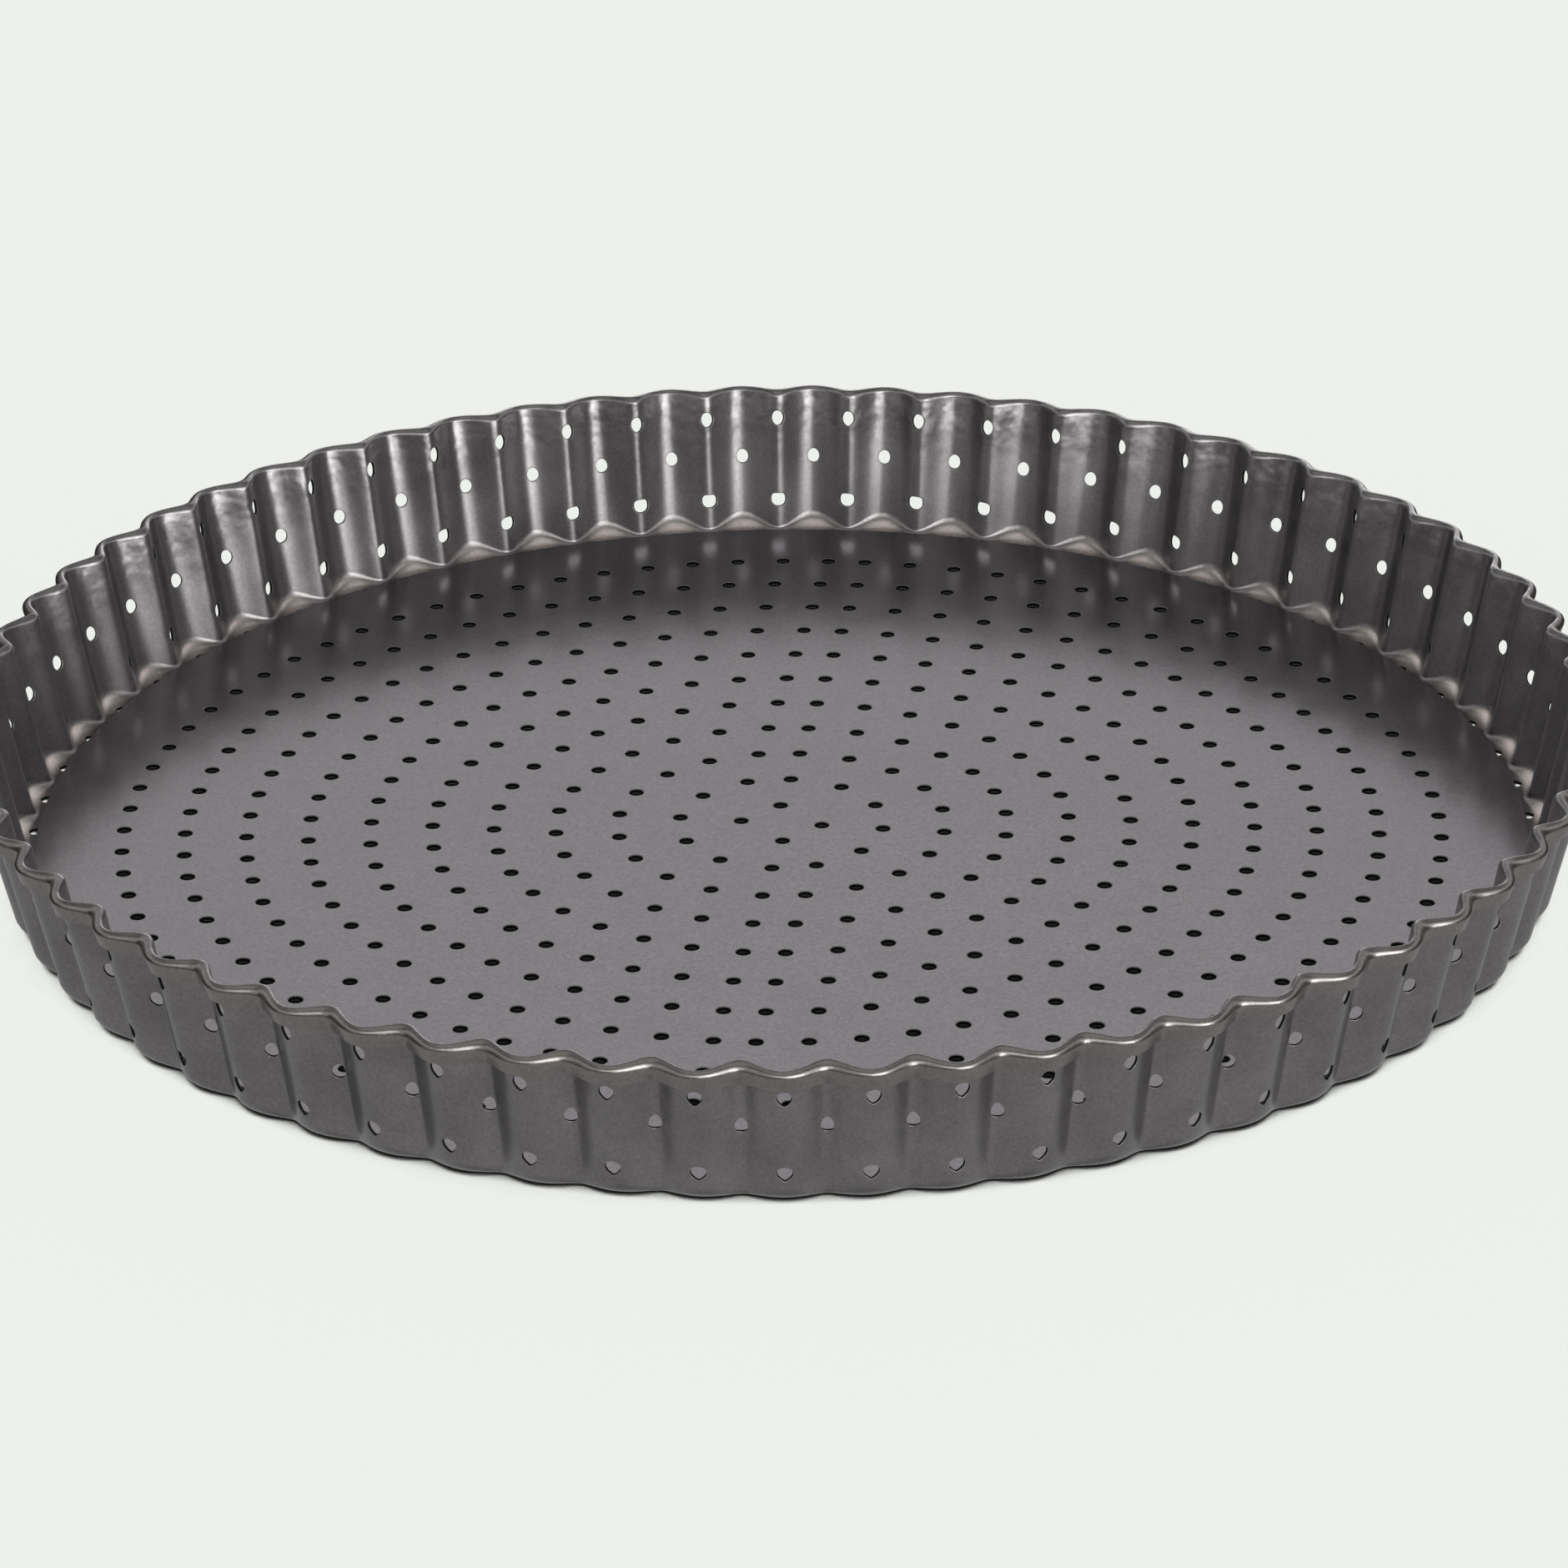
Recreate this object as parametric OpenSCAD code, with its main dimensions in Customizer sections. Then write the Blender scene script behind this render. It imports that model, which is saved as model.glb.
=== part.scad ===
// Perforated tart pan: a fluted ring with a folded rim and an inward ledge, and a flat loose base.
// The origin is on the surface the pan stands on, under the middle of the base. +Z is up.
// The perforation of the wall is made in two equal halves, so with an odd number of flutes its upper
// and lower rows fall on the creases behind and on the middle of the lobes in front.

/* [Overall] */
// Width over the folded rim, measured across the lobes
rim_d = 280; // [276:1:300]
// Height from the surface it stands on to the top of the rim
height = 27; // [24:0.5:34]

/* [Sheet] */
// Thickness of the sheet the ring is drawn from
sheet = 0.6; // [0.5:0.1:1]
// Thickness of the loose base
base_t = 0.8; // [0.6:0.1:1.5]

/* [Flutes] */
// Number of flutes round the wall, an odd number
flute_count = 63; // [49:2:77]
// Depth of a flute, from crease to lobe, at the foot of the wall
flute_depth = 3; // [1.5:0.1:4]
// How softly the creases are rounded: 0.1 is sharp, 0.6 is nearly a plain wave
crease_soft = 0.3; // [0.1:0.05:0.6]
// Flat facets that draw one flute
flute_steps = 8; // [4:2:8]

/* [Rim] */
// Height of the edge that is folded outward and down
hem_h = 3; // [2:0.5:4]
// How far the folded edge stands out from the wall
hem_t = 0.7; // [0.5:0.1:1.2]

/* [Ledge and base] */
// Width of the loose base
base_d = 256; // [250:1:260]
// Gap between the edge of the base and the creases
base_gap = 1.9; // [1:0.1:3]
// Width of the inward ledge, measured in from the creases
ledge_w = 8; // [6:0.5:14]

/* [Perforation] */
// Width of every punched hole
hole_d = 2.5; // [1.5:0.1:3]
// Rings of holes in the base
ring_count = 11; // [4:1:11]
// Radius of the innermost ring of holes
ring_first = 7; // [6:0.5:9]
// Distance from one ring of holes to the next
ring_step = 10.6; // [8:0.1:11]
// Direction of the line on which every ring of holes starts
ring_angle = 171.4; // [0:0.1:360]
// Columns of three-row perforation in each half of the wall
half_columns = 31; // [15:2:31]

/* [Hidden] */

base_r = base_d / 2;
crease_in = base_r + base_gap;
ledge_in = crease_in - ledge_w;
crease_out = crease_in + sheet;
lobe_out = crease_out + flute_depth;
flare = (rim_d / 2 - hem_t) / lobe_out - 1;
flute_pitch = 360 / flute_count;
sections = flute_count * flute_steps;
crease_angle = 90;
hem_z = height - hem_h;
row_low = 0.235 * height;
row_step = 0.285 * height;
row_reach = 2 * flute_depth + 4;
wall_tilt = atan(lobe_out * flare / height);
ledge_hole_r = base_r + 0.3;
punch_turn = 30;
seam_share = 0.39;

// Share of the flute's depth at a given angle: 0 on a crease, 1 on the middle of a lobe.
function bare_wave(a) = sqrt(pow(sin(a * flute_count / 2), 2) + pow(crease_soft, 2));
function wave(a) = (bare_wave(a) - crease_soft) / (sqrt(1 + pow(crease_soft, 2)) - crease_soft);

// Outside radius of the plain wall at an angle from a crease and at a height.
function wall_r(a, z) = (crease_out + flute_depth * wave(a)) * (1 + flare * z / height);

// The section of the sheet, as [radius, height] pairs: ledge, wall, folded edge, wall, ledge.
function section(a) = [
    [ledge_in, 0],
    [wall_r(a, 0), 0],
    [wall_r(a, hem_z), hem_z],
    [wall_r(a, hem_z) + hem_t, hem_z],
    [wall_r(a, height) + hem_t, height],
    [wall_r(a, height) - sheet, height],
    [wall_r(a, sheet) - sheet, sheet],
    [ledge_in, sheet]
];
section_points = 8;

function around(p, a) = [p[0] * cos(a), p[0] * sin(a), p[1]];
function index(i, j) = (i % sections) * section_points + j % section_points;

module sheet_body() {
    points = [
        for (i = [0 : sections - 1])
            for (p = section(i * flute_pitch / flute_steps))
                around(p, crease_angle + i * flute_pitch / flute_steps)
    ];
    faces = [
        for (i = [0 : sections - 1])
            for (j = [0 : section_points - 1])
                [index(i, j), index(i, j + 1), index(i + 1, j + 1), index(i + 1, j)]
    ];
    polyhedron(points = points, faces = faces, convexity = 6);
}

module wall_hole(a, z) {
    rotate([0, 0, a])
        translate([(crease_out + flute_depth / 2) * (1 + flare * z / height), 0, z])
            rotate([0, 90 - wall_tilt, 0])
                rotate([0, 0, punch_turn])
                    cylinder(d = hole_d, h = row_reach, center = true);
}

// One half of the wall's perforation, centred on a direction.
module half_perforation(a) {
    half = (half_columns - 1) / 2;
    for (k = [-half : half]) {
        wall_hole(a + k * flute_pitch, row_low);
        wall_hole(a + k * flute_pitch, row_low + 2 * row_step);
    }
    for (k = [-half - 0.5 : half + 0.5])
        wall_hole(a + k * flute_pitch, row_low + row_step);
}

module ledge_holes() {
    for (i = [0 : flute_count - 1])
        rotate([0, 0, crease_angle + (i + 0.5) * flute_pitch])
            translate([ledge_hole_r, 0, -1])
                cylinder(d = hole_d, h = sheet + 2);
}

module fluted_ring() {
    color([0.36, 0.35, 0.35])
        difference() {
            sheet_body();
            half_perforation(crease_angle);
            half_perforation(crease_angle + 180);
            ledge_holes();
        }
}

// A ring of the base's perforation: two equal halves with a slightly closer pair at each seam.
module hole_ring(k) {
    half = 4 * k - 2;
    step = 360 / (2 * half - seam_share);
    for (side = [0 : 1])
        for (j = [0 : half - 1])
            rotate(ring_angle + side * 180 + (j - 2 * k + 2) * step)
                translate([ring_first + (k - 1) * ring_step, 0])
                    circle(d = hole_d);
}

module loose_base() {
    color([0.44, 0.43, 0.44])
        translate([0, 0, sheet])
            linear_extrude(height = base_t)
                difference() {
                    circle(r = base_r);
                    for (k = [1 : ring_count])
                        hole_ring(k);
                }
}

fluted_ring();
loose_base();
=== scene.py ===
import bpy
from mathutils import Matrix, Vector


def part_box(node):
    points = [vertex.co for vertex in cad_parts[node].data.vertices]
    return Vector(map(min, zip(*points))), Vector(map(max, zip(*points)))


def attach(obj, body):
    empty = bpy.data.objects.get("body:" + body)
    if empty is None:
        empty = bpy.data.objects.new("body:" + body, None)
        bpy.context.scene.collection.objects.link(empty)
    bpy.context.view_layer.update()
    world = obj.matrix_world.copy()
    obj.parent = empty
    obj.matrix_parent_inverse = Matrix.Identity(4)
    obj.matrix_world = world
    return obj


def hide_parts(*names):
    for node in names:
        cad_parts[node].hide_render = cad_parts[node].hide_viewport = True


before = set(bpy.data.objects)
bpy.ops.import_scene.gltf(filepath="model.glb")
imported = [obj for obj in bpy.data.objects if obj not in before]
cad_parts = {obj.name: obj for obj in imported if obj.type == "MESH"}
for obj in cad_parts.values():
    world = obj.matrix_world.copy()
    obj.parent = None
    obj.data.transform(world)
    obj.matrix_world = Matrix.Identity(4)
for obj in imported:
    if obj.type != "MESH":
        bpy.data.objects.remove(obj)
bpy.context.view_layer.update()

import math

import bpy
import numpy as np
from mathutils import Matrix, Vector
from mathutils.geometry import delaunay_2d_cdt

# A perforated tart pan: a fluted ring with a folded rim, and a loose base that lies on its ledge.
# Shapes are worked out in millimetres in the frame's own axes and become metres in make_mesh().

MM = 0.001

# ---------------------------------------------------------------- sizes from the frame

ring_low, ring_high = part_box("fluted_ring")
base_low, base_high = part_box("loose_base")
HEIGHT = ring_high.z / MM
RIM_R = -ring_low.y / MM
SHEET = base_low.z / MM
BASE_TOP = base_high.z / MM
BASE_R = base_high.y / MM

# ---------------------------------------------------------------- sizes of the ring

# The flutes: how many there are, where the first crease lies, how uneven they are round the pan, how deep
# they are at the foot and at the rim, and how softly their creases are rounded there.
FLUTES = 63
CREASE_TURN = math.pi / 2
PITCH = 2 * math.pi / FLUTES
DRIFT = 0.13
FOOT_DEPTH = 2.6
RIM_DEPTH = 3.7
SOFT_FOOT = 0.33
SOFT_RIM = 0.5
SOFT_FROM = 0.66

# Each slight dent of the rim as how often it comes round, where it starts and how deep it is.
DENTS = ((23, 0.5, 0.07), (41, 2.1, 0.06), (58, 4.0, 0.04))

# The ledge, and the radius of the bend between ledge and wall.
CREASE_GAP = 1.3
LEDGE_WIDTH = 8.0
CREASE_OUT = BASE_R + CREASE_GAP + SHEET
LEDGE_IN = CREASE_OUT - SHEET - LEDGE_WIDTH
BEND_CREASE = 1.3
BEND_LOBE = 3.9

# The folded rim: the fold's radius, the height at which it starts, and the hem that hangs from it.
FOLD_LOBE = 0.58
FOLD_CREASE = 1.1
RIM_CLEAR = 0.02
FOLD_Z = HEIGHT - SHEET / 2 - FOLD_CREASE - RIM_CLEAR
HEM_LEN = 2.3
HEM_CLOSE = 0.35
CREASE_FLARE = RIM_R - 2 * FOLD_LOBE - RIM_DEPTH - CREASE_OUT

# The perforation. Drawing the flutes has pulled the lobes' holes down by the sag.
ROW_LOW = 0.235 * HEIGHT
ROW_STEP = 0.285 * HEIGHT
LOBE_SAG = 1.0
LEDGE_HOLE_R = BASE_R + 0.3
HALF_SPAN = 15.5
HOLE_SIDES = 24
SHOULDER = 0.16
LIP_DROP = 0.1

# How far along the sheet's section each stretch ends: ledge, bend, wall, fold and hem.
LEDGE_END = 7.0
BEND_END = LEDGE_END + 5.0
WALL_END = BEND_END + FOLD_Z - 3.5
FOLD_END = WALL_END + 2.5
HEM_END = FOLD_END + HEM_LEN

# ---------------------------------------------------------------- sizes of the base

HOLE_D = 2.5
HOLE_RINGS = 11
RING_FIRST = 7.0
RING_STEP = 10.6
RING_TURN = math.radians(171.4)
SEAM_SHARE = 0.39
BASE_SIDES = 504
BASE_HOLE_SIDES = 20
EDGE_ROUND = 0.25

# ---------------------------------------------------------------- meshes from patches

WELD = 1e-4

# Marks of the sheet's own faces, of a hole's lip and inside, and of a cut edge. The second mark is painted
# shade: full inside a hole and partial on its lip.
PLAIN = (0.0, 0.0, 0.0)
LIP = (0.4, 0.3, 0.0)
BORE = (0.0, 1.0, 0.0)
EDGE = (0.5, 0.0, 0.0)


class Patches:
    """Triangles that carry a normal and marks at each corner, welded into one mesh at the end.

    The marks are how much wear the coating shows, from 0 to 1 on the rim, with 2 in the foot's pockets for a
    thinner coat under a painted highlight; the share of the way into a hole, painted dark as shade; and how
    strained the sheet is by forming.
    """

    def __init__(self):
        self.corners = []
        self.normals = []
        self.marks = []

    def add(self, points, normals, triangles, marks=PLAIN):
        marks = np.broadcast_to(np.asarray(marks, float), (len(points), 3))
        corners, facing = points[triangles], normals[triangles]
        flat = np.cross(corners[:, 1] - corners[:, 0], corners[:, 2] - corners[:, 0])
        backward = np.einsum("ij,ij->i", flat, facing.sum(1)) < 0
        order = np.where(backward[:, None], [[0, 2, 1]], [[0, 1, 2]])
        rows = np.arange(len(triangles))[:, None]
        self.corners.append(corners[rows, order])
        self.normals.append(facing[rows, order])
        self.marks.append(marks[triangles][rows, order])

    def make_mesh(self, name):
        corners, normals = np.concatenate(self.corners), np.concatenate(self.normals)
        marks = np.concatenate(self.marks)
        keys = np.round(corners.reshape(-1, 3) / WELD).astype(np.int64)
        _, first, index = np.unique(keys, axis=0, return_index=True, return_inverse=True)
        faces = index.reshape(-1, 3)
        whole = (faces[:, 0] != faces[:, 1]) & (faces[:, 1] != faces[:, 2]) & (faces[:, 2] != faces[:, 0])
        faces, normals, marks = faces[whole], normals[whole], marks[whole]
        mesh = bpy.data.meshes.new(name)
        points = corners.reshape(-1, 3)[first] * MM
        mesh.from_pydata(points.tolist(), [], faces.tolist(), shade_flat=False)
        mesh.normals_split_custom_set(normals.reshape(-1, 3).tolist())
        stored = mesh.attributes.new("marks", "FLOAT_VECTOR", "CORNER")
        stored.data.foreach_set("vector", marks.reshape(-1).astype(np.float32))
        piece = bpy.data.objects.new(name, mesh)
        bpy.context.scene.collection.objects.link(piece)
        return piece


def strip(lower, upper):
    """Triangles between two closed loops of point numbers of the same length."""
    a, b = np.asarray(lower), np.asarray(upper)
    c, d = np.roll(a, -1), np.roll(b, -1)
    return np.concatenate([np.stack([a, c, d], 1), np.stack([a, d, b], 1)])


def triangulate(points, loops):
    """Delaunay triangles over flat points, with the closed loops left open as holes."""
    label = np.full(len(points), -1)
    edges = []
    for number, loop in enumerate(loops):
        label[loop] = number
        edges += [(int(a), int(b)) for a, b in zip(loop, np.roll(loop, -1))]
    found = delaunay_2d_cdt([Vector(p) for p in points], edges, [], 0, 1e-7)
    triangles = np.array(found[2])
    origin = np.array([source[0] for source in found[3]])
    triangles = origin[triangles]
    a, b, c = label[triangles].T
    return triangles[~((a >= 0) & (a == b) & (b == c))]


def outline(width, height, square=2.0, point=0.0, sides=HOLE_SIDES):
    """A hole's outline as across and up distances: a superellipse with its foot drawn to a point."""
    narrower, lower = 0.35, 0.25
    t = np.arange(sides) * 2 * math.pi / sides
    across = np.sign(np.cos(t)) * np.abs(np.cos(t)) ** (2 / square) * width / 2
    up = np.sign(np.sin(t)) * np.abs(np.sin(t)) ** (2 / square) * height / 2
    drawn = np.clip(-np.sin(t), 0, 1) ** 4 * point
    return np.stack([across * (1 - narrower * drawn), up * (1 + lower * drawn)], 1)


def grown(loop, by):
    """The outline moved outward from its middle by a distance."""
    length = np.linalg.norm(loop, axis=1, keepdims=True)
    return loop * (length + by) / length


# ---------------------------------------------------------------- the ring's sheet

def smooth(t):
    """Rises from 0 to 1 with a soft start and end."""
    t = np.clip(t, 0, 1)
    return t * t * (3 - 2 * t)


def blend(share_of_second, first, second):
    """Between two values."""
    return first + (second - first) * share_of_second


def turn_of(u):
    """Direction of a place u flutes round from the crease behind. The flutes are a little wider behind."""
    return CREASE_TURN + PITCH * (u + DRIFT * np.sin(u * PITCH))


def flute_of(x):
    """How many flutes round a direction is that lies x even pitches round."""
    return x - DRIFT * np.sin(x * PITCH)


def wave(u, z):
    """Share of the flute's depth: 0 on a crease, 1 in a lobe."""
    soft = blend(smooth((z / HEIGHT - SOFT_FROM) / (1 - SOFT_FROM)), SOFT_FOOT, SOFT_RIM)
    bare = np.sqrt(np.sin(math.pi * u) ** 2 + soft ** 2)
    return (bare - soft) / (np.sqrt(1 + soft ** 2) - soft)


def wall_r(u, z):
    """Radius of the middle of the sheet in the wall, with slight dents that grow toward the rim."""
    dents = sum(size * np.sin(count * u * PITCH + start) for count, start, size in DENTS)
    depth = blend(z / HEIGHT, FOOT_DEPTH, RIM_DEPTH)
    return CREASE_OUT - SHEET / 2 + (CREASE_FLARE + dents) * z / HEIGHT + depth * wave(u, z)


def around(u, r, z):
    """The point u flutes round at a radius and a height."""
    turn = turn_of(u)
    return np.stack([r * np.cos(turn), r * np.sin(turn), z + 0 * r], -1)


def wall(u, z):
    return around(u, wall_r(u, z), z)


def facing(surface, u, v):
    """The surface's normal, which points out of the pan on the wall."""
    du, dv = 1e-4, 1e-3
    across = surface(u + du, v) - surface(u - du, v)
    along = surface(u, v + dv) - surface(u, v - dv)
    normal = np.cross(across, along)
    return normal / np.linalg.norm(normal, axis=-1, keepdims=True)


def lean(u):
    """How far the wall leans outward."""
    return np.arctan((CREASE_FLARE + (RIM_DEPTH - FOOT_DEPTH) * wave(u, 0)) / HEIGHT)


def outward(u):
    """The direction square to the wall's slope and straight out from the pan's axis."""
    turn, tilt = turn_of(u), lean(u)
    return np.stack([np.cos(turn) * np.cos(tilt), np.sin(turn) * np.cos(tilt), -np.sin(tilt)], -1)


def foot_bend(u):
    """Radius of the bend at the foot, where the bend starts, and where the wall starts."""
    bend = blend(wave(u, 0), BEND_CREASE, BEND_LOBE)
    wall_z = SHEET / 2 + bend * (1 - np.sin(lean(u)))
    return bend, wall_r(u, wall_z) - bend * np.cos(lean(u)), wall_z


def share(v, start, end):
    """How much of a stretch of the section lies before a place."""
    return np.clip((v - start) / (end - start), 0, 1)


def ring_point(u, v):
    """The middle of the sheet, u flutes round and v along the section."""
    bend, start_r, wall_z = foot_bend(u)
    turned = share(v, LEDGE_END, BEND_END) * (math.pi / 2 - lean(u))
    low_r = LEDGE_IN + share(v, 0, LEDGE_END) * (start_r - LEDGE_IN) + bend * np.sin(turned)
    low = around(u, low_r, SHEET / 2 + bend * (1 - np.cos(turned)))
    fold = blend(wave(u, HEIGHT), FOLD_CREASE, FOLD_LOBE)
    folded = share(v, WALL_END, FOLD_END) * math.pi
    hem = share(v, FOLD_END, HEM_END)
    z = wall_z + share(v, BEND_END, WALL_END) * (FOLD_Z - wall_z)
    z = z + fold * np.sin(folded) - hem * HEM_LEN
    out = fold * (1 - np.cos(folded)) - hem * HEM_CLOSE * (2 * fold - SHEET)
    high = wall(u, z) + out[..., None] * outward(u)
    return np.where((v < BEND_END)[..., None], low, high)


def wall_place(u, z):
    """Where a height on the wall or its foot lies along the section."""
    bend, _, wall_z = foot_bend(u)
    turned = np.arccos(np.clip(1 - (z - SHEET / 2) / bend, -1, 1))
    in_bend = blend(turned / (math.pi / 2 - lean(u)), LEDGE_END, BEND_END)
    in_wall = blend((z - wall_z) / (FOLD_Z - wall_z), BEND_END, WALL_END)
    return np.where(z < wall_z, in_bend, in_wall)


def ledge_place(u, r):
    """Where a radius on the ledge or in the bend lies along the section."""
    bend, start_r, _ = foot_bend(u)
    turned = np.arcsin(np.clip((r - start_r) / bend, -1, 1))
    in_bend = blend(turned / (math.pi / 2 - lean(u)), LEDGE_END, BEND_END)
    in_ledge = (r - LEDGE_IN) / (start_r - LEDGE_IN) * LEDGE_END
    return np.where(r < start_r, in_ledge, in_bend)


# ---------------------------------------------------------------- the ring's perforation

def wall_hole(x, z, loop):
    """An outline on the wall, x even pitches round."""
    u = flute_of(x)
    flute_width = np.linalg.norm(wall(u + 0.05, z) - wall(u - 0.05, z)) / 0.1
    us = u + loop[:, 0] / flute_width
    height = z + loop[:, 1] * np.cos(lean(us))
    return np.stack([us, wall_place(us, height - LOBE_SAG * wave(us, height) * height / HEIGHT)], 1)


def ledge_hole(u, loop):
    """An outline on the ledge."""
    us = u + loop[:, 0] / (LEDGE_HOLE_R * PITCH)
    return np.stack([us, ledge_place(us, LEDGE_HOLE_R + loop[:, 1])], 1)


def flute_holes(flute, grow):
    """The outlines of one flute's holes, grown by a distance: near its lobe, near its crease and in its
    ledge."""
    front_lobe = abs(flute + 0.5 - FLUTES / 2) < HALF_SPAN
    front_crease = abs(flute + 1 - FLUTES / 2) < HALF_SPAN + 0.1
    shapes = []
    upper_lobe, lower_lobe = outline(2.3, 2.7, 2.1, 0.8), outline(2.5, 2.6, 2.1, 1.0)
    upper_crease, lower_crease = outline(2.25, 2.8), outline(2.8, 2.45, 2.6)
    middle = outline(2.3, 2.75)
    rows = [ROW_LOW, ROW_LOW + ROW_STEP, ROW_LOW + 2 * ROW_STEP]
    if front_lobe:
        shapes += [(flute + 0.5, rows[0], lower_lobe), (flute + 0.5, rows[2], upper_lobe)]
    else:
        shapes += [(flute + 0.5, rows[1], middle)]
    if front_crease:
        shapes += [(flute + 1, rows[1], middle)]
    else:
        shapes += [(flute + 1, rows[0], lower_crease), (flute + 1, rows[2], upper_crease)]
    loops = [wall_hole(x, z, grown(shape, grow)) for x, z, shape in shapes]
    loops.append(ledge_hole(flute + 0.5, grown(outline(HOLE_D, HOLE_D), grow)))
    return loops


def flute_grid(flute):
    """Grid places over one flute, closest at its creases, between borders that lie clear of its holes."""
    border, clear = 0.25, 0.015
    start, end = flute_of(flute + border), flute_of(flute + 1 + border)
    from_crease = [0, 0.02, 0.045, 0.08, 0.125, 0.18, 0.25, 0.333, 0.4167, 0.5]
    columns = set()
    for crease in (flute, flute + 1):
        for distance in from_crease:
            columns |= {round(crease - distance, 4), round(crease + distance, 4)}
    inner = [u for u in sorted(columns) if start + clear < u < end - clear]
    rows = np.concatenate([
        np.linspace(0, LEDGE_END, 3)[:-1],
        np.linspace(LEDGE_END, BEND_END, 9)[:-1],
        np.linspace(BEND_END, WALL_END, 12)[:-1],
        np.linspace(WALL_END, FOLD_END, 9)[:-1],
        np.linspace(FOLD_END, HEM_END, 3),
    ])
    return np.array([start] + inner + [end]), rows


def add_flute(ring, flute):
    """Adds both faces of the sheet over one flute, the walls of its holes and the sheet's two long edges."""
    too_near, edge_step = 0.3, 0.1
    columns, rows = flute_grid(flute)
    flat = np.stack(np.meshgrid(columns, rows, indexing="ij"), -1).reshape(-1, 2)
    stretch = np.array([CREASE_OUT * PITCH, 1.0])
    shoulders, lips = flute_holes(flute, SHOULDER), flute_holes(flute, 0.0)
    for shoulder in shoulders:
        gap = np.linalg.norm((flat[:, None] - shoulder[None]) * stretch, axis=2).min(1)
        middle = shoulder.mean(0)
        reach = np.linalg.norm((shoulder - middle) * stretch, axis=1)
        within = np.linalg.norm((flat - middle) * stretch, axis=1) < (reach.min() + reach.max()) / 2
        flat = flat[~((gap < too_near) | within)]
    count = len(flat)
    loops = [count + i * HOLE_SIDES + np.arange(HOLE_SIDES) for i in range(len(lips))]
    points = np.concatenate([flat] + shoulders)
    triangles = triangulate(points * stretch, loops)
    u, v = points.T
    middle, normal = ring_point(u, v), facing(ring_point, u, v)
    lip_u, lip_v = np.concatenate(lips).T
    lip_middle, lip_normal = ring_point(lip_u, lip_v), facing(ring_point, lip_u, lip_v)
    inward = lip_middle - middle[count:]
    inward /= np.linalg.norm(inward, axis=1, keepdims=True)
    hole_strips = np.concatenate([
        strip(i * HOLE_SIDES + np.arange(HOLE_SIDES), (i + len(lips)) * HOLE_SIDES + np.arange(HOLE_SIDES))
        for i in range(len(lips))
    ])
    for side in (-1, 1):
        skin, out = middle + side * SHEET / 2 * normal, side * normal
        ring.add(skin, out, triangles, sheet_marks(u, v, side))
        lip = lip_middle + side * (SHEET / 2 - LIP_DROP) * lip_normal
        rounded = (side * lip_normal + inward) / math.sqrt(2)
        both = np.concatenate([skin[count:], lip])
        ring.add(both, np.concatenate([out[count:], rounded]), hole_strips, LIP)
    near, far = [lip_middle + side * (SHEET / 2 - LIP_DROP) * lip_normal for side in (-1, 1)]
    ring.add(np.concatenate([near, far]), np.concatenate([inward, inward]), hole_strips, BORE)
    add_sheet_edge(ring, columns, 0.0, edge_step)
    add_sheet_edge(ring, columns, HEM_END, -edge_step)


def add_sheet_edge(ring, u, v, inner_step):
    """Closes the sheet along the ledge's inner edge or the hem's lower one."""
    v = np.full(len(u), v)
    middle, normal = ring_point(u, v), facing(ring_point, u, v)
    out = middle - ring_point(u, v + inner_step)
    out /= np.linalg.norm(out, axis=1, keepdims=True)
    points = np.concatenate([middle - SHEET / 2 * normal, middle + SHEET / 2 * normal])
    a = np.arange(len(u) - 1)
    b = a + len(u)
    triangles = np.concatenate([np.stack([a, a + 1, b + 1], 1), np.stack([a, b + 1, b], 1)])
    ring.add(points, np.concatenate([out, out]), triangles, EDGE)


def sheet_marks(u, v, side):
    """Wear on the folded rim and, inside the pan, a thinner coat with a painted highlight in the foot's
    bend, and strain near the rim.
    """
    rim = smooth((v - WALL_END - 0.7) / 0.8)
    # Inside the pan the foot's pockets are marked for a thinner coat with a painted highlight of the light
    # from above.
    foot = smooth((v - LEDGE_END + 1) / 1.5) * smooth((BEND_END - 0.2 - v) / 2) * wave(u, 0)
    strain = smooth((v - BEND_END) / (WALL_END - BEND_END) * 2 - 0.9) * (1 - rim)
    wear_and_highlight = np.maximum(rim, 2 * foot) if side < 0 else rim
    return np.stack([wear_and_highlight, 0 * u, strain], 1)


def build_ring():
    """The ring's sheet, made flute by flute."""
    ring = Patches()
    for flute in range(FLUTES):
        add_flute(ring, flute)
    piece = ring.make_mesh("ring_sheet")
    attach(piece, "ring")
    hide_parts("fluted_ring")
    return piece


# ---------------------------------------------------------------- the loose base

def base_hole_places():
    """The middle of every hole: rings in two equal halves, a little closer at each seam."""
    places = []
    for k in range(1, HOLE_RINGS + 1):
        half = 4 * k - 2
        step = 2 * math.pi / (2 * half - SEAM_SHARE)
        radius = RING_FIRST + (k - 1) * RING_STEP
        for side in (0, 1):
            for j in range(half):
                turn = RING_TURN + side * math.pi + (j - 2 * k + 2) * step
                places.append((radius * math.cos(turn), radius * math.sin(turn)))
    return np.array(places)


def disc_points(flat, z):
    """Flat points at a height."""
    return np.concatenate([flat, np.full((len(flat), 1), z)], 1)


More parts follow.
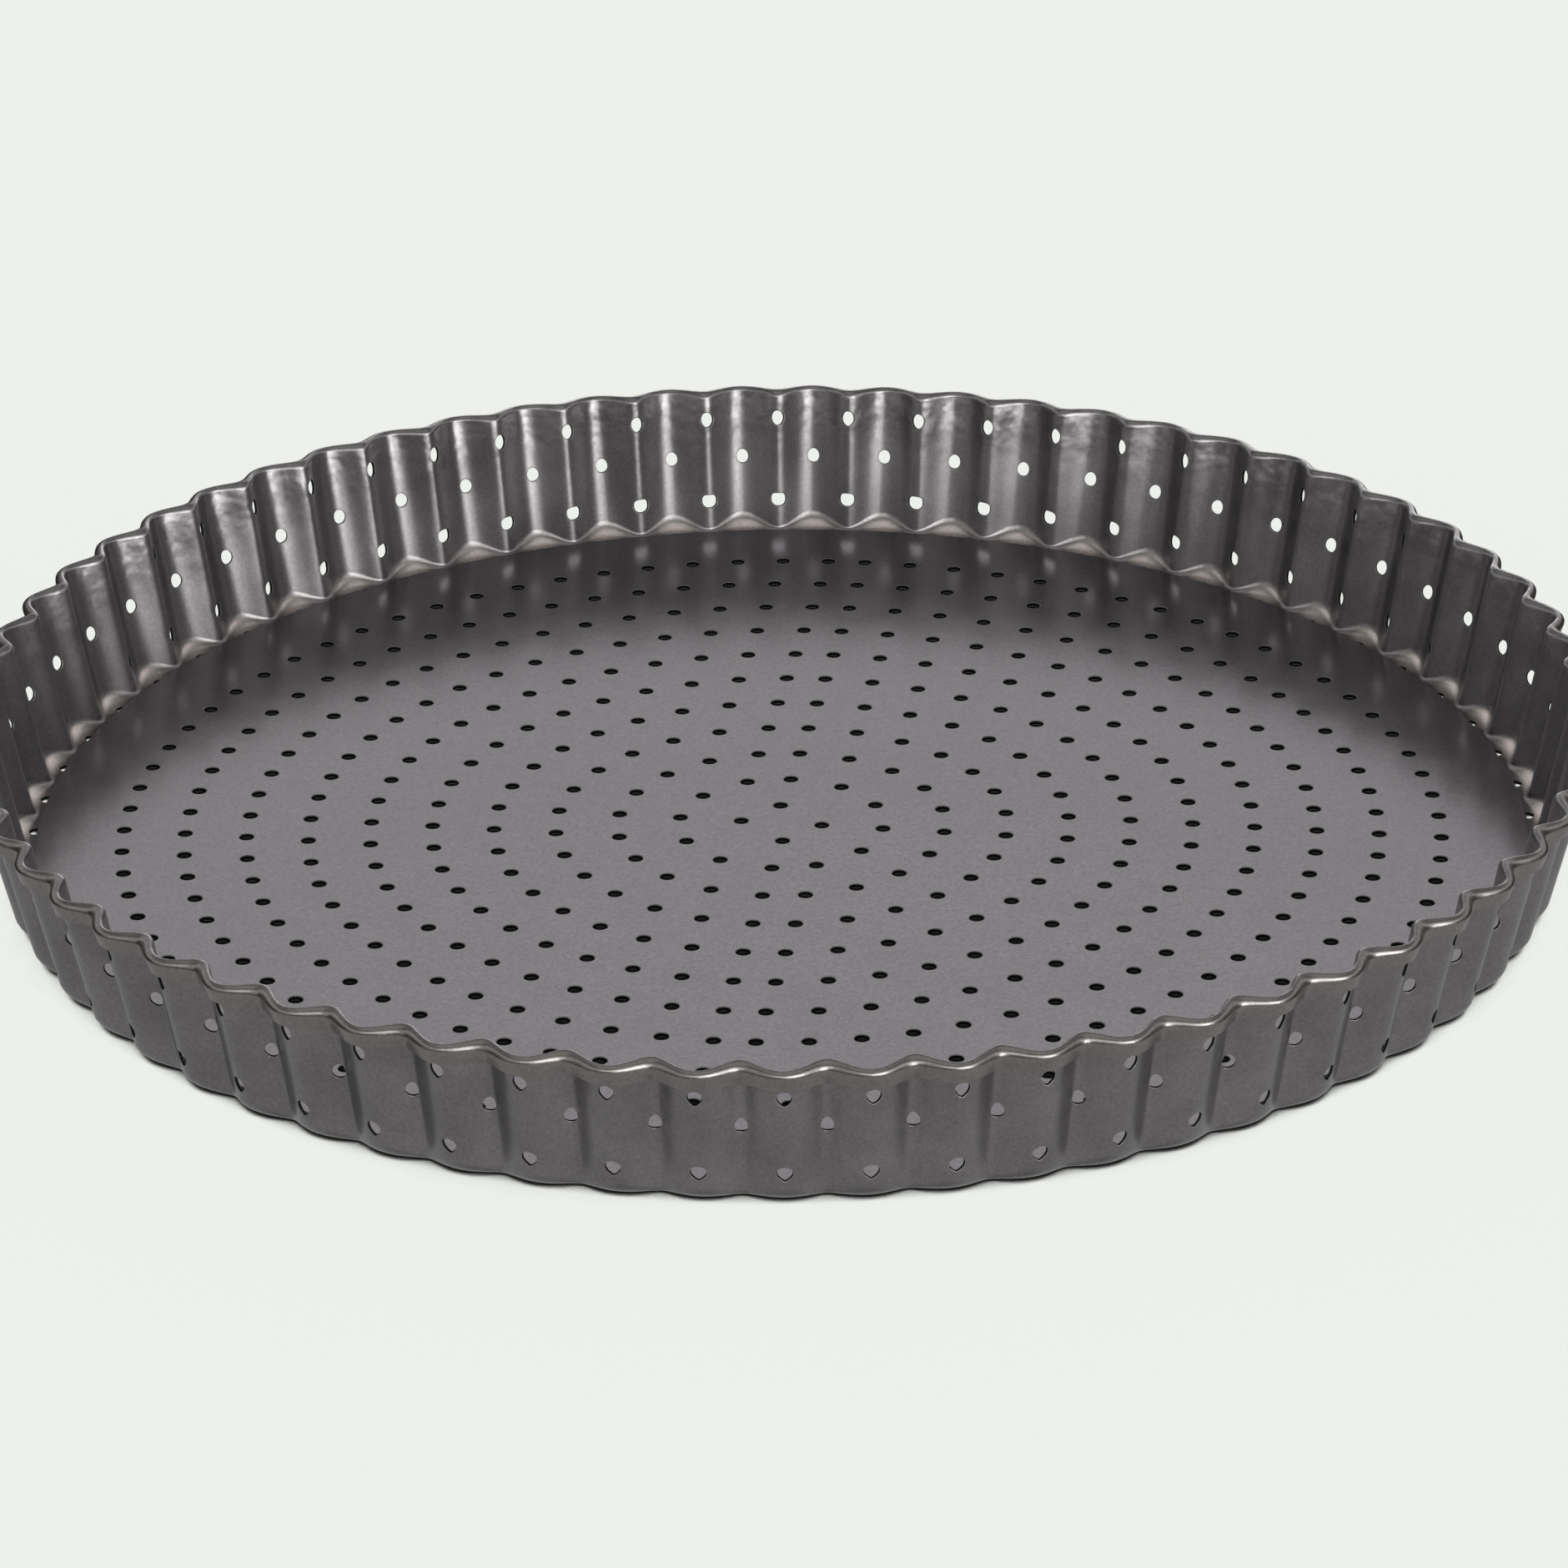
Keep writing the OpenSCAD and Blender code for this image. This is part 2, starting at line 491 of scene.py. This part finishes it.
def build_base():
    """The base's two faces, the walls of its holes and its edge."""
    base = Patches()
    turn = np.arange(BASE_SIDES) * 2 * math.pi / BASE_SIDES
    rim = np.stack([np.cos(turn), np.sin(turn)], 1)
    loop = outline(HOLE_D, HOLE_D, sides=BASE_HOLE_SIDES)
    places = base_hole_places()
    shoulders = (places[:, None] + grown(loop, SHOULDER)[None]).reshape(-1, 2)
    lips = (places[:, None] + loop[None]).reshape(-1, 2)
    loops = [BASE_SIDES + i * BASE_HOLE_SIDES + np.arange(BASE_HOLE_SIDES) for i in range(len(places))]
    flat = np.concatenate([rim * (BASE_R - EDGE_ROUND), shoulders])
    triangles = triangulate(flat, loops)
    up = np.array([0, 0, 1.0])
    inward = -np.tile(loop / np.linalg.norm(loop, axis=1, keepdims=True), (len(places), 1))
    inward = disc_points(inward, 0.0)
    hole_strips = np.concatenate([
        strip(first + np.arange(BASE_HOLE_SIDES), first + len(lips) + np.arange(BASE_HOLE_SIDES))
        for first in range(0, len(lips), BASE_HOLE_SIDES)
    ])
    levels = {}
    for side, z in ((1, BASE_TOP), (-1, SHEET)):
        skin = disc_points(flat, z)
        base.add(skin, np.tile(side * up, (len(skin), 1)), triangles)
        lip = disc_points(lips, z - side * LIP_DROP)
        levels[side] = lip
        both = np.concatenate([skin[BASE_SIDES:], lip])
        rounded = np.concatenate([np.tile(side * up, (len(lip), 1)), (side * up + inward) / math.sqrt(2)])
        base.add(both, rounded, hole_strips, LIP)
    both = np.concatenate([levels[1], levels[-1]])
    base.add(both, np.concatenate([inward, inward]), hole_strips, BORE)
    add_disc_edge(base, rim)
    piece = base.make_mesh("base_plate")
    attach(piece, "base")
    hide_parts("loose_base")
    return piece


def add_disc_edge(base, rim):
    """The rounded edge of the base, from its upper face to its lower one."""
    middle = (BASE_TOP + SHEET) / 2
    straight = (BASE_TOP - SHEET) / 2 - EDGE_ROUND
    rows, normals = [], []
    for tilt in np.linspace(90, -90, 7):
        c, s = math.cos(math.radians(tilt)), math.sin(math.radians(tilt))
        z = middle + np.sign(round(s, 6)) * straight + EDGE_ROUND * s
        rows.append(disc_points(rim * (BASE_R - EDGE_ROUND + EDGE_ROUND * c), z))
        normals.append(disc_points(rim * c, s))
    count = len(rim)
    triangles = np.concatenate([
        strip(i * count + np.arange(count), (i + 1) * count + np.arange(count)) for i in range(len(rows) - 1)
    ])
    base.add(np.concatenate(rows), np.concatenate(normals), triangles, EDGE)


# ---------------------------------------------------------------- materials

class Nodes:
    """Short ways to add and link shader nodes."""

    def __init__(self, name):
        self.material = bpy.data.materials.new(name)
        self.material.use_nodes = True
        self.tree = self.material.node_tree
        self.shader = self.tree.nodes["Principled BSDF"]

    def add(self, kind, **inputs):
        node = self.tree.nodes.new(kind)
        for name, value in inputs.items():
            node.inputs[name.replace("_", " ")].default_value = value
        return node

    def link(self, source, target):
        self.tree.links.new(source, target)

    def noise(self, place, scale, detail=4.0, rough=0.55):
        node = self.add("ShaderNodeTexNoise", Scale=scale, Detail=detail, Roughness=rough)
        self.link(place, node.inputs["Vector"])
        return node.outputs["Fac"]

    def mix(self, share, a, b):
        node = self.tree.nodes.new("ShaderNodeMix")
        node.data_type = "RGBA"
        for socket, value in ((node.inputs[0], share), (node.inputs[6], a), (node.inputs[7], b)):
            if isinstance(value, bpy.types.NodeSocket):
                self.link(value, socket)
            else:
                socket.default_value = value
        return node.outputs[2]

    def map_range(self, source, low, high, new_low, new_high):
        node = self.add("ShaderNodeMapRange")
        for i, value in enumerate((low, high, new_low, new_high)):
            node.inputs[i + 1].default_value = value
        self.link(source, node.inputs[0])
        return node.outputs[0]

    def math(self, operation, a, b):
        node = self.tree.nodes.new("ShaderNodeMath")
        node.operation = operation
        for socket, value in zip(node.inputs, (a, b)):
            if isinstance(value, bpy.types.NodeSocket):
                self.link(value, socket)
            else:
                socket.default_value = value
        return node.outputs[0]

    def scale_colour(self, colour, factor):
        node = self.tree.nodes.new("ShaderNodeVectorMath")
        node.operation = "SCALE"
        self.link(colour, node.inputs[0])
        self.link(factor, node.inputs["Scale"])
        return node.outputs[0]

    def bump(self, height, strength, distance, normal=None):
        node = self.add("ShaderNodeBump", Strength=strength, Distance=distance)
        self.link(height, node.inputs["Height"])
        if normal is not None:
            self.link(normal, node.inputs["Normal"])
        return node.outputs["Normal"]


# Features per metre of the coating's speckle, orange peel, forming wrinkles and mottling.
SPECKLE, PEEL, WRINKLES, MOTTLING = 1700, 420, 190, 75
METALLIC = 0.92
# Painted shade: the inside of every hole is coloured near black.
BORE_PAINTED_SHADE = (0.008, 0.008, 0.008, 1)


def coating(name, dark, light, worn_colour, thin_coat_and_highlight_colour, rough):
    """Baked non-stick coating with fine speckle, orange peel and mottling, a thinner coat lightened by a
    painted highlight in the foot's pockets, and painted shade inside the holes.
    """
    nodes = Nodes(name)
    place = nodes.tree.nodes.new("ShaderNodeTexCoord").outputs["Object"]
    marks = nodes.tree.nodes.new("ShaderNodeAttribute")
    marks.attribute_name = "marks"
    shares = nodes.add("ShaderNodeSeparateXYZ")
    nodes.link(marks.outputs["Vector"], shares.inputs[0])
    wear_and_highlight, bore_shade, strain = shares.outputs
    speckle = nodes.noise(place, SPECKLE, 2)
    peel = nodes.noise(place, PEEL, 4)
    mottle = nodes.noise(place, MOTTLING, 5)
    wrinkle = nodes.noise(place, WRINKLES, 2)

    colour = nodes.mix(nodes.map_range(mottle, 0.35, 0.65, 0.1, 0.9), (*dark, 1), (*light, 1))
    patchy = nodes.math("MULTIPLY", wear_and_highlight, nodes.map_range(peel, 0.3, 0.7, 0.6, 1.0))
    colour = nodes.mix(patchy, colour, (*worn_colour, 1))
    # Painted highlight over a thinner coat in the foot's pockets: mark 2 turns the colour pale beige.
    thin_coat_and_highlight = nodes.map_range(wear_and_highlight, 1.0, 2.0, 0.0, 1.0)
    colour = nodes.mix(thin_coat_and_highlight, colour, (*thin_coat_and_highlight_colour, 1))
    # Painted shade in the holes: their insides turn near black, with no metal sheen or gloss.
    colour = nodes.mix(bore_shade, colour, BORE_PAINTED_SHADE)
    tone = nodes.map_range(speckle, 0.3, 0.7, 0.88, 1.12)
    colour = nodes.scale_colour(colour, tone)
    nodes.link(colour, nodes.shader.inputs["Base Color"])

    roughness = nodes.map_range(mottle, 0.3, 0.7, rough - 0.02, rough + 0.03)
    roughness = nodes.math("ADD", roughness, nodes.math("MULTIPLY", bore_shade, 0.5))
    nodes.link(roughness, nodes.shader.inputs["Roughness"])
    nodes.link(nodes.map_range(bore_shade, 0, 1, METALLIC, 0.0), nodes.shader.inputs["Metallic"])
    nodes.link(nodes.map_range(bore_shade, 0, 1, 0.5, 0.0), nodes.shader.inputs["Specular IOR Level"])

    surface = nodes.bump(speckle, 0.1, 0.02 * MM)
    surface = nodes.bump(peel, 0.12, 0.06 * MM, surface)
    folds = nodes.math("MULTIPLY", wrinkle, strain)
    nodes.link(nodes.bump(folds, 0.5, 0.6 * MM, surface), nodes.shader.inputs["Normal"])
    return nodes.material


def ring_coating():
    return coating(
        "ring_coating",
        dark=(0.18, 0.171, 0.174),
        light=(0.245, 0.234, 0.236),
        worn_colour=(0.24, 0.223, 0.212),
        # Pale beige of the foot's pockets: a thinner coat with a painted highlight of the light from above.
        thin_coat_and_highlight_colour=(0.66, 0.585, 0.555),
        rough=0.31,
    )


def base_coating():
    return coating(
        "base_coating",
        dark=(0.24, 0.225, 0.24),
        light=(0.266, 0.25, 0.266),
        worn_colour=(0.3, 0.285, 0.28),
        thin_coat_and_highlight_colour=(0.3, 0.285, 0.28),
        rough=0.21,
    )


def floor_material():
    """A pale sheet that glows evenly where it is open to the room, with a painted shadow from ambient
    occlusion that makes it dark where the pan covers it.
    """
    nodes = Nodes("pale_floor")
    nodes.shader.inputs["Base Color"].default_value = (0.06, 0.06, 0.06, 1)
    # Painted shadow: the glow fades to dark where ambient occlusion finds the pan close above.
    openness = nodes.add("ShaderNodeAmbientOcclusion", Distance=30 * MM).outputs["AO"]
    glow_with_painted_shadow = nodes.map_range(openness, 0.24, 0.34, 0.0, 0.985)
    nodes.link(glow_with_painted_shadow, nodes.shader.inputs["Emission Strength"])
    nodes.shader.inputs["Emission Color"].default_value = (0.835, 0.858, 0.817, 1)
    nodes.shader.inputs["Roughness"].default_value = 0.9
    nodes.shader.inputs["Specular IOR Level"].default_value = 0.0
    return nodes.material


# ---------------------------------------------------------------- studio

def add_stage(name, points, faces, material):
    """A part of the studio. The pan doesn't mirror it, so only the lamps and the studio's levels show."""
    mesh = bpy.data.meshes.new(name)
    mesh.from_pydata(points, [], faces)
    mesh.materials.append(material)
    piece = bpy.data.objects.new(name, mesh)
    bpy.context.scene.collection.objects.link(piece)
    piece.visible_glossy = False


def build_stage():
    """The floor and a round backdrop at its edge."""
    sides, radius, high, z = 64, 8.0, 6.0, -0.1 * MM
    turns = [2 * math.pi * i / sides for i in range(sides)]
    edge = [(radius * math.cos(a), radius * math.sin(a), z) for a in turns]
    top = [(x, y, high) for x, y, _ in edge]
    material = floor_material()
    add_stage("floor", edge, [tuple(range(sides))], material)
    walls = [(i, (i + 1) % sides, sides + (i + 1) % sides, sides + i) for i in range(sides)]
    add_stage("backdrop", edge + top, walls, material)


# Each softbox as its direction, its height, how wide and how high it looks from the pan, all in degrees,
# and how bright it looks. A direction is 0 in front, 90 at the right and 180 behind the pan.
FRONT_BOXES = {
    "key_low": (40, 6, 22, 12, 10.2),
    "front_low": (18, 6, 24, 12, 6.0),
    "key_high": (30, 21, 30, 18, 4.3),
    "key_right": (60, 21, 30, 18, 0.9),
    "key_left": (352, 21, 44, 18, 2.2),
    "side_left": (305, 6, 44, 12, 0.9),
}
OTHER_BOXES = {
    "behind_low": (173, 6, 30, 12, 3.0),
    "overhead": (0, 88, 56, 56, 0.5),
}
BOX_DISTANCE = 2.5

# How bright the rest of the studio is at heights in degrees, from straight below the pan upward.
STUDIO_LEVELS = (
    (-90, 0.25), (-60, 0.44), (-25, 0.47), (-20, 0.0),
    (13, 0.0), (18, 0.82), (36, 0.82), (42, 0.12),
)


def softbox(name, lit_pieces, turn, rise, wide, high, level):
    """A rectangular lamp that looks at the pan from a direction and lights a group of pieces."""
    lamp = bpy.data.lights.new(name, "AREA")
    lamp.shape = "RECTANGLE"
    lamp.size = 2 * BOX_DISTANCE * math.tan(math.radians(wide / 2))
    lamp.size_y = 2 * BOX_DISTANCE * math.tan(math.radians(high / 2))
    lamp.energy = level * math.pi * lamp.size * lamp.size_y
    a, e = math.radians(turn), math.radians(rise)
    place = Vector((math.sin(a) * math.cos(e), -math.cos(a) * math.cos(e), math.sin(e))) * BOX_DISTANCE
    box = bpy.data.objects.new(name, lamp)
    box.location = place
    box.rotation_mode = "QUATERNION"
    box.rotation_quaternion = (-place).to_track_quat("-Z", "Y")
    box.visible_camera = False
    box.light_linking.receiver_collection = lit_pieces
    bpy.context.scene.collection.objects.link(box)


def build_lights(ring_piece, base_piece):
    """The lamps. None of them lights the floor, and the front ones light only the ring, so that the base
    doesn't glare when it is seen from behind."""
    ring_only = bpy.data.collections.new("lit_from_the_front")
    ring_only.objects.link(ring_piece)
    both = bpy.data.collections.new("lit_from_behind_and_above")
    both.objects.link(ring_piece)
    both.objects.link(base_piece)
    for boxes, lit_pieces in ((FRONT_BOXES, ring_only), (OTHER_BOXES, both)):
        for name, place in boxes.items():
            softbox(name, lit_pieces, *place)


def build_world():
    """The rest of the studio: dim below, dark round the horizon and brightest a little above it."""
    world = bpy.data.worlds.new("studio")
    bpy.context.scene.world = world
    world.use_nodes = True
    tree = world.node_tree
    direction = tree.nodes.new("ShaderNodeTexCoord").outputs["Generated"]
    height = tree.nodes.new("ShaderNodeSeparateXYZ")
    ramp_place = tree.nodes.new("ShaderNodeMath")
    ramp_place.operation = "MULTIPLY_ADD"
    ramp_place.inputs[1].default_value = 0.5
    ramp_place.inputs[2].default_value = 0.5
    level = tree.nodes.new("ShaderNodeValToRGB")
    stops = level.color_ramp.elements
    while len(stops) < len(STUDIO_LEVELS):
        stops.new(0.5)
    for stop, (rise, brightness) in zip(stops, STUDIO_LEVELS):
        stop.position = (math.sin(math.radians(rise)) + 1) / 2
        stop.color = (brightness, brightness, brightness, 1)
    tree.links.new(direction, height.inputs[0])
    tree.links.new(height.outputs["Z"], ramp_place.inputs[0])
    tree.links.new(ramp_place.outputs[0], level.inputs["Fac"])
    tree.links.new(level.outputs["Color"], tree.nodes["Background"].inputs["Color"])


def build_camera():
    """The view of the photograph: 25.4 degrees above the horizon from a little over a metre."""
    rise, distance, roll = 25.41, 1.1576, 0.0108
    target = Vector((0.0005, 0.0155, BASE_TOP * MM))
    e = math.radians(rise)
    back = Vector((0, -math.cos(e), math.sin(e)))
    level, above = Vector((1, 0, 0)), Vector((0, math.sin(e), math.cos(e)))
    right = level * math.cos(roll) - above * math.sin(roll)
    up = above * math.cos(roll) + level * math.sin(roll)
    lens = bpy.data.cameras.new("camera")
    lens.sensor_width = 36
    lens.lens = 152.73
    lens.clip_start, lens.clip_end = 0.05, 50
    camera = bpy.data.objects.new("camera", lens)
    turned = Matrix((right, up, back)).transposed().to_4x4()
    camera.matrix_world = Matrix.Translation(target + back * distance) @ turned
    bpy.context.scene.collection.objects.link(camera)
    bpy.context.scene.camera = camera


build_camera()
build_stage()
build_world()
ring_piece = build_ring()
ring_piece.data.materials.append(ring_coating())
base_piece = build_base()
base_piece.data.materials.append(base_coating())
build_lights(ring_piece, base_piece)
bpy.context.scene.view_settings.view_transform = "Standard"
